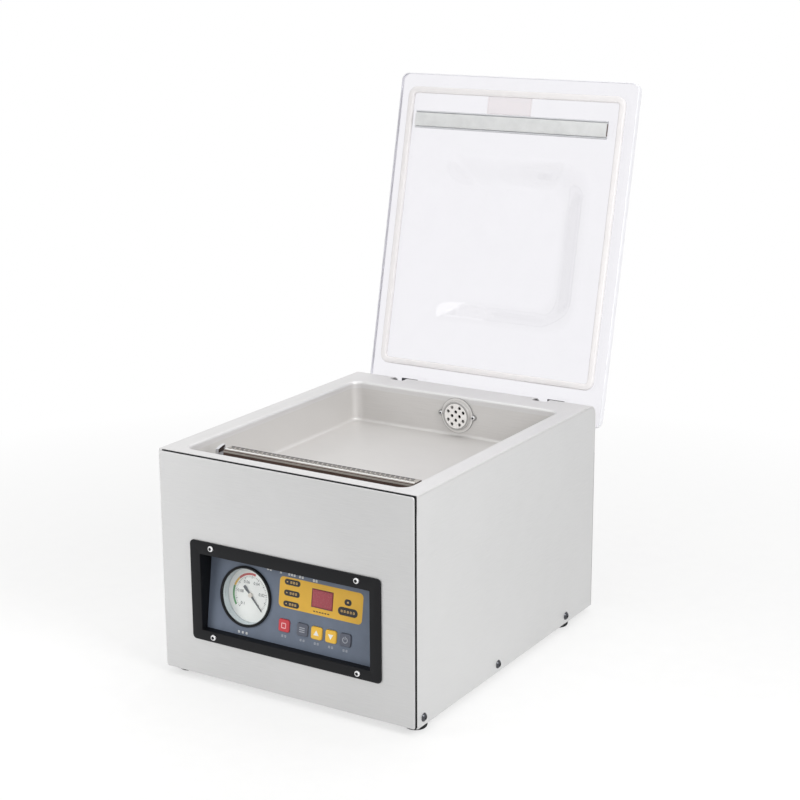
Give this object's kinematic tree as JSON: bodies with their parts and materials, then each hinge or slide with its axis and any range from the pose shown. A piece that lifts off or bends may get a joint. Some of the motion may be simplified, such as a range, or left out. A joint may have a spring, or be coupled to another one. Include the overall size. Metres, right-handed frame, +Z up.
{
  "type": "vacuum sealer",
  "caption": "Tabletop chamber vacuum sealer with a hinged clear domed lid, a lifting heated sealing bar and a recessed panel with a gauge, display and keys.",
  "frame": {"origin": "centre of the rectangle of the four feet, on the surface that they stand on", "axes": "+X to the right seen from the front, +Y from the front panel to the back, +Z up"},
  "size_m": [0.336, 0.5277, 0.6325],
  "materials": {
    "brushed_steel": "satin, brushed along the sheet",
    "chamber_steel": "satin",
    "black_paint": "matt black",
    "screw_steel": "bright",
    "black_rubber": "matt",
    "polished_steel": "polished",
    "cast_aluminium": "as cast",
    "bar_aluminium": "satin, anodised",
    "brown_insulator": "matt laminate",
    "coated_tape": "coated glass cloth",
    "spring_steel": "oiled",
    "clear_acrylic": "clear, polished",
    "gasket_rubber": "silicone, satin",
    "pad_silicone": "silicone, satin",
    "pale_painted_steel": "satin pale",
    "black_plastic": "fine textured",
    "slate_plastic": "satin film",
    "red_window": "tinted",
    "white_dial": "matt white",
    "grey_needle": "matt grey",
    "clear_lens": "clear",
    "red_key": "satin",
    "grey_key": "satin",
    "yellow_key": "satin",
    "green_board": "solder mask",
    "pump_iron": "painted casting",
    "grey_paint": "matt grey",
    "copper_winding": "enamelled wire",
    "blue_plastic": "gloss"
  },
  "bodies": {
    "chassis": {"top_deck": "brushed_steel", "chamber_pan": "chamber_steel", "front_panel": "brushed_steel", "front_frame": "black_paint", "left_side_panel": "brushed_steel", "right_side_panel": "brushed_steel", "rear_panel": "brushed_steel", "base_plate": "brushed_steel", "dome_screws": "screw_steel", "button_screws": "screw_steel", "feet": "black_rubber", "port_cap": "polished_steel", "port_elbow": "cast_aluminium", "terminal_post": "polished_steel", "lift_cylinders": "cast_aluminium", "piston_springs": "spring_steel", "hinge_brackets": "brushed_steel", "hinge_pins": "screw_steel", "hinge_springs": "spring_steel", "lid_sensor": "black_plastic", "panel_bezel": "black_plastic", "control_plate": "slate_plastic", "display_window": "red_window", "gauge_case": "polished_steel", "gauge_ring": "black_plastic", "gauge_dial": "white_dial", "gauge_lens": "clear_lens", "control_board": "green_board", "pump_body": "pump_iron", "pump_filter": "grey_paint", "pump_plate": "brushed_steel", "pump_mounts": "black_rubber", "motor_housing": "cast_aluminium", "motor_stator": "copper_winding", "fan_cover": "grey_paint", "vacuum_hose": "black_rubber", "valve_block": "cast_aluminium", "transformer": "grey_paint", "capacitor": "blue_plastic", "power_inlet": "black_plastic", "fuse_holder": "black_plastic"},
    "lid": {"lid_shell": "clear_acrylic", "lid_gasket": "gasket_rubber", "pad_channel": "bar_aluminium", "lid_pad": "pad_silicone", "hinge_arms": "pale_painted_steel", "lid_screws": "screw_steel"},
    "sealing_bar": {"seal_bar": "bar_aluminium", "bar_insulator": "brown_insulator", "heating_strip": "screw_steel", "bar_tape": "coated_tape", "lift_pistons": "screw_steel"},
    "needle": {"gauge_needle": "grey_needle"},
    "pump_rotor": {"rotor_shaft": "screw_steel", "cooling_fan": "black_plastic"},
    "stop_key": {"stop_key": "red_key"},
    "mode_key": {"mode_key": "grey_key"},
    "up_key": {"up_key": "yellow_key"},
    "down_key": {"down_key": "yellow_key"},
    "start_key": {"start_key": "grey_key"}
  },
  "joints": [
    {"name": "lid_hinge", "type": "hinge", "parent": "chassis", "child": "lid", "pos_m": [0, 0.2141, 0.2419], "axis": [1, 0, 0], "range_deg": [0, 102.5], "stiffness_Nm_per_rad": 1.5},
    {"name": "bar_lift", "type": "slide", "parent": "chassis", "child": "sealing_bar", "axis": [0, 0, 1], "range_m": [0, 0.0035], "stiffness_N_per_m": 4000, "deforming": ["piston_springs"]},
    {"name": "needle_turn", "type": "hinge", "parent": "chassis", "child": "needle", "pos_m": [-0.0599, -0.17514, 0.10713], "axis": [0, -0.9893, 0.1461], "range_deg": [0, 270], "stiffness_Nm_per_rad": 0.0005, "springref_deg": -28.65},
    {"name": "rotor_spin", "type": "hinge", "parent": "chassis", "child": "pump_rotor", "pos_m": [0, 0.0815, 0.0812], "axis": [1, 0, 0], "continuous": true},
    {"name": "stop_press", "type": "slide", "parent": "chassis", "child": "stop_key", "axis": [0, 0.9893, -0.1461], "range_m": [0, 0.0008], "stiffness_N_per_m": 500},
    {"name": "mode_press", "type": "slide", "parent": "chassis", "child": "mode_key", "axis": [0, 0.9893, -0.1461], "range_m": [0, 0.0008], "stiffness_N_per_m": 500},
    {"name": "up_press", "type": "slide", "parent": "chassis", "child": "up_key", "axis": [0, 0.9893, -0.1461], "range_m": [0, 0.0008], "stiffness_N_per_m": 500},
    {"name": "down_press", "type": "slide", "parent": "chassis", "child": "down_key", "axis": [0, 0.9893, -0.1461], "range_m": [0, 0.0008], "stiffness_N_per_m": 500},
    {"name": "start_press", "type": "slide", "parent": "chassis", "child": "start_key", "axis": [0, 0.9893, -0.1461], "range_m": [0, 0.0008], "stiffness_N_per_m": 500}
  ]
}
